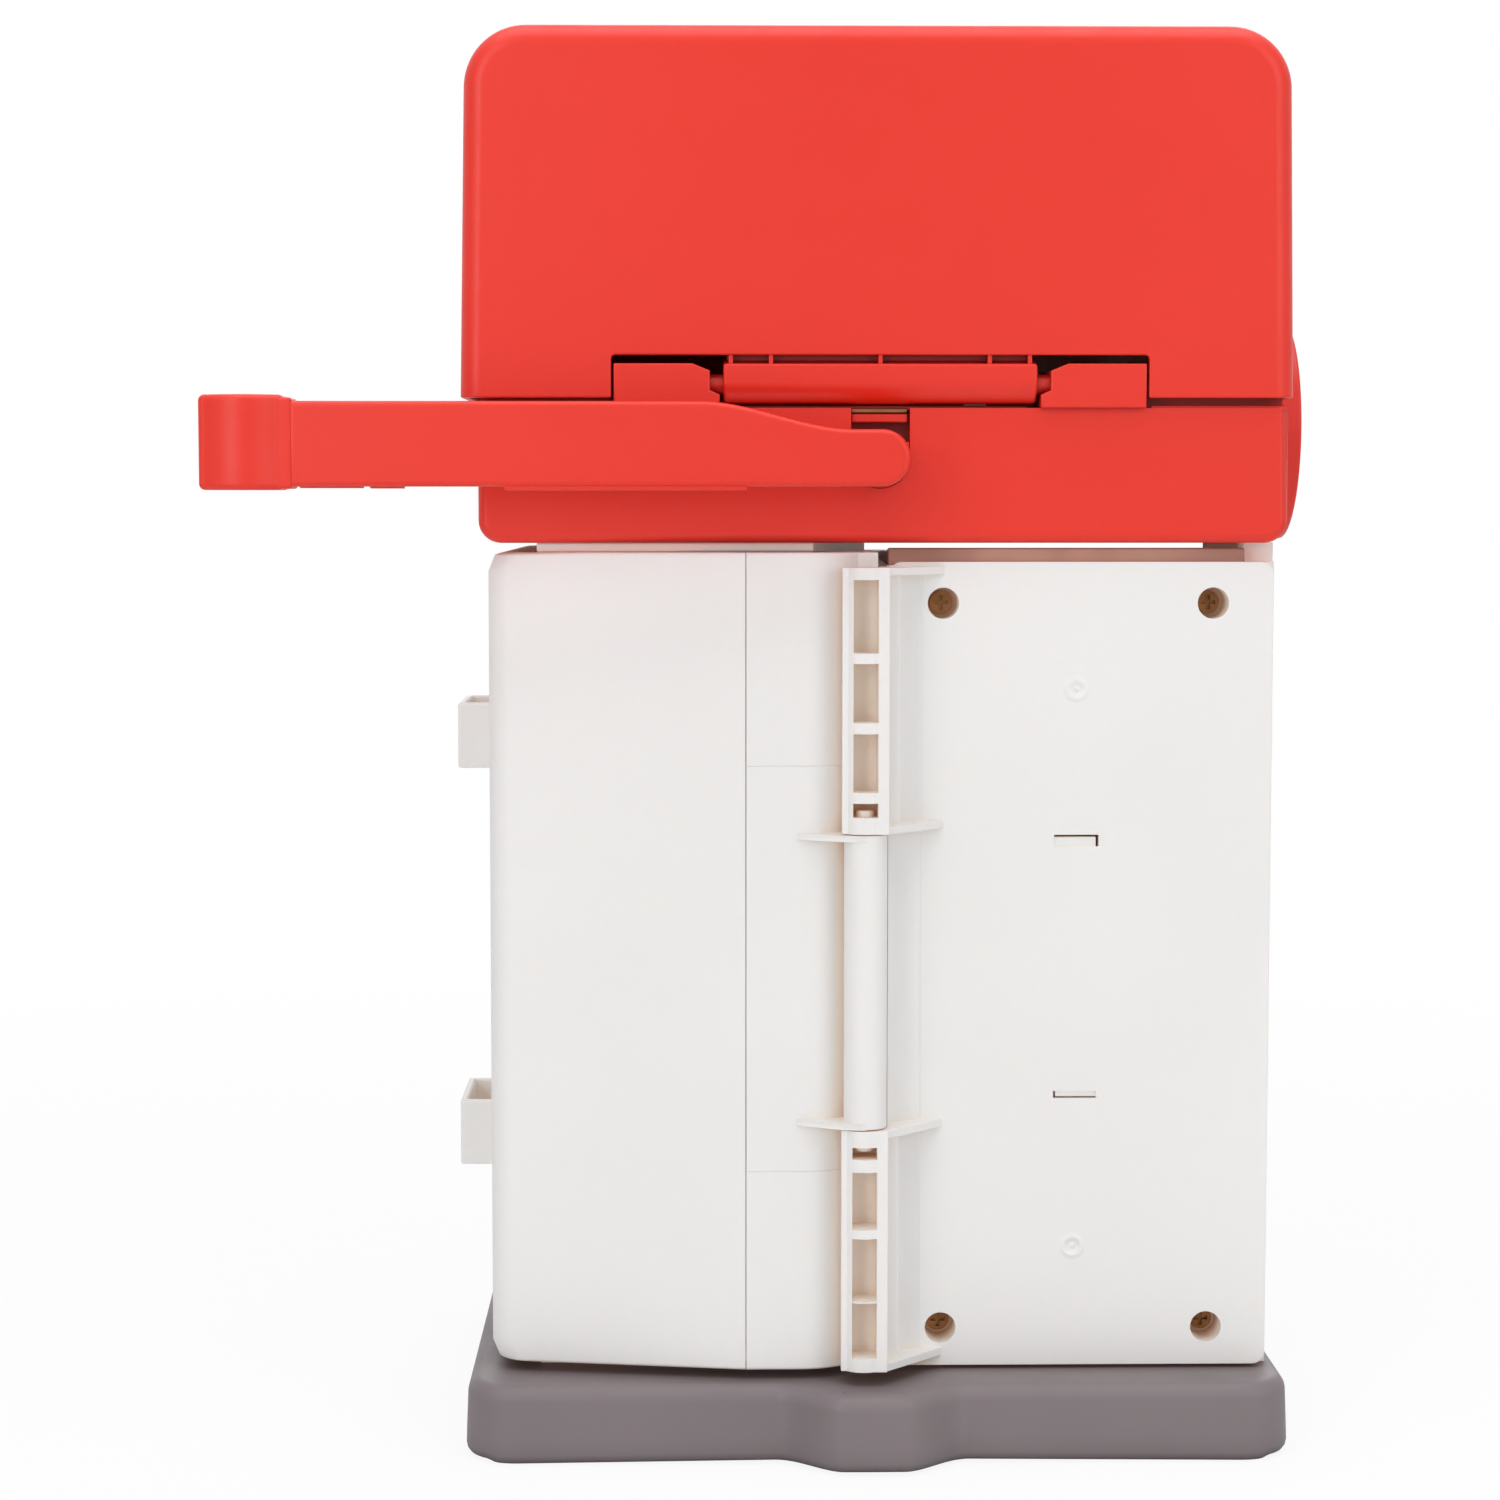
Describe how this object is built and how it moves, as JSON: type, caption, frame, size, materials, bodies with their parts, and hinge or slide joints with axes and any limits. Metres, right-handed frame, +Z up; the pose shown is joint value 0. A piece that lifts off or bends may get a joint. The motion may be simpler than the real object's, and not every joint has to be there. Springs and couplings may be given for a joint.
{
  "type": "countertop egg slicer",
  "caption": "Countertop egg slicer: a side lever swings a wire frame through an egg in a slotted cradle, above a cabinet with a hinged door and a slice bin.",
  "frame": {"origin": "centre of the base's footprint without its rear bump, on the surface it stands on", "axes": "+X to the side with the knob, +Y to the operator's side with the slice bin, -Y to the hinged rear side that the picture shows, +Z up"},
  "size_m": [0.2967, 0.198, 0.3809],
  "materials": {
    "red_plastic": "satin moulded",
    "white_plastic": "satin moulded",
    "grey_plastic": "fine moulded grain",
    "foot_rubber": "matt",
    "steel": "bright turned",
    "wire_steel": "drawn wire"
  },
  "bodies": {
    "frame": {"base_shell": "grey_plastic", "base_cover": "grey_plastic", "rubber_feet": "foot_rubber", "base_screws": "steel", "housing": "white_plastic", "storage_shelf": "white_plastic", "rear_cover": "white_plastic", "cover_screws": "steel", "door_magnet": "steel", "slice_funnel": "white_plastic", "head_tray": "red_plastic", "head_screws": "steel", "hinge_block_left": "red_plastic", "hinge_block_right": "red_plastic", "lever_bush": "red_plastic", "gear_bracket": "red_plastic", "bracket_screws": "steel", "return_spring": "steel", "frame_bearing": "red_plastic", "cradle_bearing": "red_plastic"},
    "door": {"door_shell": "white_plastic", "hinge_leaf": "white_plastic", "leaf_screws": "steel", "upper_hook": "white_plastic", "lower_hook": "white_plastic", "door_strike": "steel"},
    "bin": {"slice_bin": "white_plastic"},
    "lid": {"lid": "red_plastic"},
    "lever": {"lever_shaft": "steel", "lever_arm": "red_plastic", "lever_grip": "red_plastic", "lever_grub_screw": "steel", "lever_gear": "steel", "shaft_clip": "steel"},
    "slicer": {"frame_shaft": "steel", "frame_gear": "steel", "wire_frame": "steel", "wire_clamp": "steel", "clamp_screws": "steel", "cutting_wires": "wire_steel"},
    "cradle": {"egg_cradle": "white_plastic", "cradle_shaft": "steel", "side_knob": "red_plastic"}
  },
  "joints": [
    {"name": "lid_hinge", "type": "hinge", "parent": "frame", "child": "lid", "pos_m": [0, -0.0726, 0.287], "axis": [1, 0, 0], "range_deg": [0, 78]},
    {"name": "lever_pivot", "type": "hinge", "parent": "frame", "child": "lever", "pos_m": [0, -0.075, 0.2673], "axis": [0, 1, 0], "range_deg": [-60, 0], "stiffness_Nm_per_rad": 0.25, "springref_deg": 34.38},
    {"name": "slicer_pivot", "type": "hinge", "parent": "frame", "child": "slicer", "pos_m": [0.02602, 0, 0.28232], "axis": [0, -1, 0], "range_deg": [-90, 0]},
    {"name": "door_hinge", "type": "hinge", "parent": "frame", "child": "door", "pos_m": [-0.0042, -0.084, 0.13], "axis": [0, 0, 1], "range_deg": [0, 100]},
    {"name": "cradle_turn", "type": "hinge", "parent": "frame", "child": "cradle", "pos_m": [0.067, 0, 0.2735], "axis": [1, 0, 0], "range_deg": [0, 120]},
    {"name": "bin_slide", "type": "slide", "parent": "frame", "child": "bin", "axis": [0, 1, 0], "range_m": [0, 0.11]}
  ],
  "couplings": [
    {"joint": "slicer_pivot", "follows": "lever_pivot", "ratio": 1.5}
  ]
}
